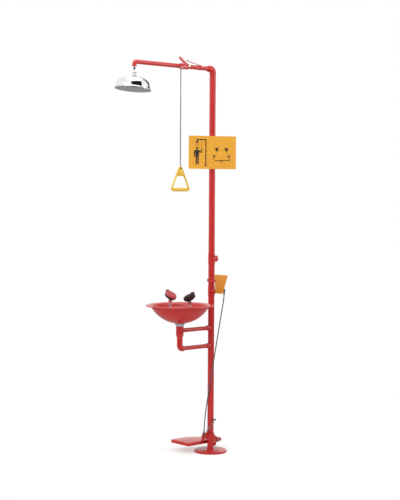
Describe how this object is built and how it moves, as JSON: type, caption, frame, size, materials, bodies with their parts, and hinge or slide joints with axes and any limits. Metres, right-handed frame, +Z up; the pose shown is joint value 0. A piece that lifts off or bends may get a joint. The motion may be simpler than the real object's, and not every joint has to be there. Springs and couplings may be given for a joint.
{
  "type": "emergency safety shower",
  "caption": "Floor-mounted emergency shower on a red pipe column with a level shower arm, pull rod, eyewash bowl, push flag and foot treadle.",
  "frame": {"origin": "centre of the floor flange's underside, on the column axis at floor level", "axes": "+Z up along the column, shower arm and bowl towards -Y, push flag towards +X, foot treadle on the -X side"},
  "size_m": [0.3999, 0.8361, 2.3431],
  "materials": {
    "red_paint": "gloss powder coat",
    "yellow_paint": "semi-gloss enamel",
    "sign_face": "satin print",
    "yellow_plastic": "moulded, ribbed grip",
    "chrome": "polished",
    "stainless": "brushed",
    "zinc_steel": "zinc plated",
    "brass": "machined",
    "black_plastic": "moulded",
    "red_plastic": "moulded",
    "white_seal": "turned",
    "rubber": "matt",
    "cable_sheath": "satin sheath"
  },
  "bodies": {
    "stand": {"ball_nipple": "chrome", "base_flange": "red_paint", "bowl": "red_paint", "bowl_gasket": "rubber", "clamp_screws": "red_paint", "column_plug": "zinc_steel", "cover_pins": "zinc_steel", "drain_arm": "red_paint", "drain_elbow": "red_paint", "drop_elbow": "red_paint", "eyewash_manifold": "brass", "eyewash_valve_body": "red_paint", "eyewash_valve_bonnet": "red_paint", "flag_stop_band": "red_paint", "hinge_washer": "white_seal", "inlet_tee": "red_paint", "lever_rest": "red_paint", "lock_nut": "chrome", "lower_column": "red_paint", "manifold_sleeve": "red_paint", "middle_column": "red_paint", "nozzle_heads": "black_plastic", "nozzle_stems": "chrome", "return_spring": "stainless", "riser_tube": "stainless", "shower_arm_front": "red_paint", "shower_arm_rear": "red_paint", "shower_valve_body": "red_paint", "shower_valve_bonnet": "red_paint", "sign_bands": "stainless", "sign_plate": "sign_face", "sign_screws": "sign_face", "spray_discs": "black_plastic", "spring_stud": "zinc_steel", "supply_arm": "red_paint", "top_elbow": "red_paint", "treadle_clamp": "red_paint", "treadle_hinge_pin": "zinc_steel", "upper_column": "red_paint", "valve_seats": "white_seal", "waste_outlet": "red_paint", "waste_strainer": "stainless"},
    "push_flag": {"push_flag": "yellow_paint", "flag_stem": "stainless", "flag_nut": "zinc_steel"},
    "treadle": {"treadle_pan": "red_paint", "treadle_bracket": "red_paint"},
    "cable": {"treadle_cable": "cable_sheath", "cable_ends": "cable_sheath"},
    "shower_lever": {"shower_lever": "red_paint", "pull_arm": "red_paint", "lever_stem": "stainless", "lever_nut": "brass"},
    "pull_rod": {"pull_rod": "stainless"},
    "pull_handle": {"pull_handle": "yellow_plastic"},
    "shower_head": {"swivel_nut": "chrome", "head_shell": "chrome", "spray_face": "stainless"},
    "left_cover": {"dust_cover_left": "red_plastic"},
    "right_cover": {"dust_cover_right": "red_plastic"}
  },
  "joints": [
    {"name": "treadle_press", "type": "hinge", "parent": "stand", "child": "treadle", "pos_m": [-0.06, 0.085, 0.054], "axis": [1, 0, 0], "range_deg": [0, 10], "stiffness_Nm_per_rad": 14, "springref_deg": -20.05, "deforming": ["return_spring"]},
    {"name": "push_flag_turn", "type": "hinge", "parent": "stand", "child": "push_flag", "pos_m": [0.055, 0, 0.972], "axis": [1, 0, 0], "range_deg": [-90, 0]},
    {"name": "cable_pivot", "type": "hinge", "parent": "push_flag", "child": "cable", "pos_m": [0.101, 0.01025, 0.98225], "axis": [1, 0, 0], "range_deg": [0, 90]},
    {"name": "shower_lever_turn", "type": "hinge", "parent": "stand", "child": "shower_lever", "pos_m": [0.04, -0.23, 2.293], "axis": [1, 0, 0], "range_deg": [0, 75]},
    {"name": "pull_rod_pivot", "type": "hinge", "parent": "shower_lever", "child": "pull_rod", "pos_m": [0.042, -0.289, 2.281], "axis": [1, 0, 0], "range_deg": [-75, 0]},
    {"name": "pull_handle_swing", "type": "hinge", "parent": "pull_rod", "child": "pull_handle", "pos_m": [0.042, -0.289, 1.698], "axis": [1, 0, 0], "range_deg": [-45, 45]},
    {"name": "head_tilt", "type": "hinge", "parent": "stand", "child": "shower_head", "pos_m": [0, -0.6, 2.233], "axis": [1, 0, 0], "range_deg": [-6, 18]},
    {"name": "left_cover_flip", "type": "hinge", "parent": "stand", "child": "left_cover", "pos_m": [-0.11171, -0.25, 0.98051], "axis": [0, -1, 0], "range_deg": [0, 150]},
    {"name": "right_cover_flip", "type": "hinge", "parent": "stand", "child": "right_cover", "pos_m": [0.11171, -0.25, 0.98051], "axis": [0, 1, 0], "range_deg": [0, 150]}
  ],
  "couplings": [
    {"joint": "push_flag_turn", "follows": "treadle_press", "ratio": -9},
    {"joint": "cable_pivot", "follows": "treadle_press", "ratio": 8.93},
    {"joint": "pull_rod_pivot", "follows": "shower_lever_turn", "ratio": -1}
  ]
}
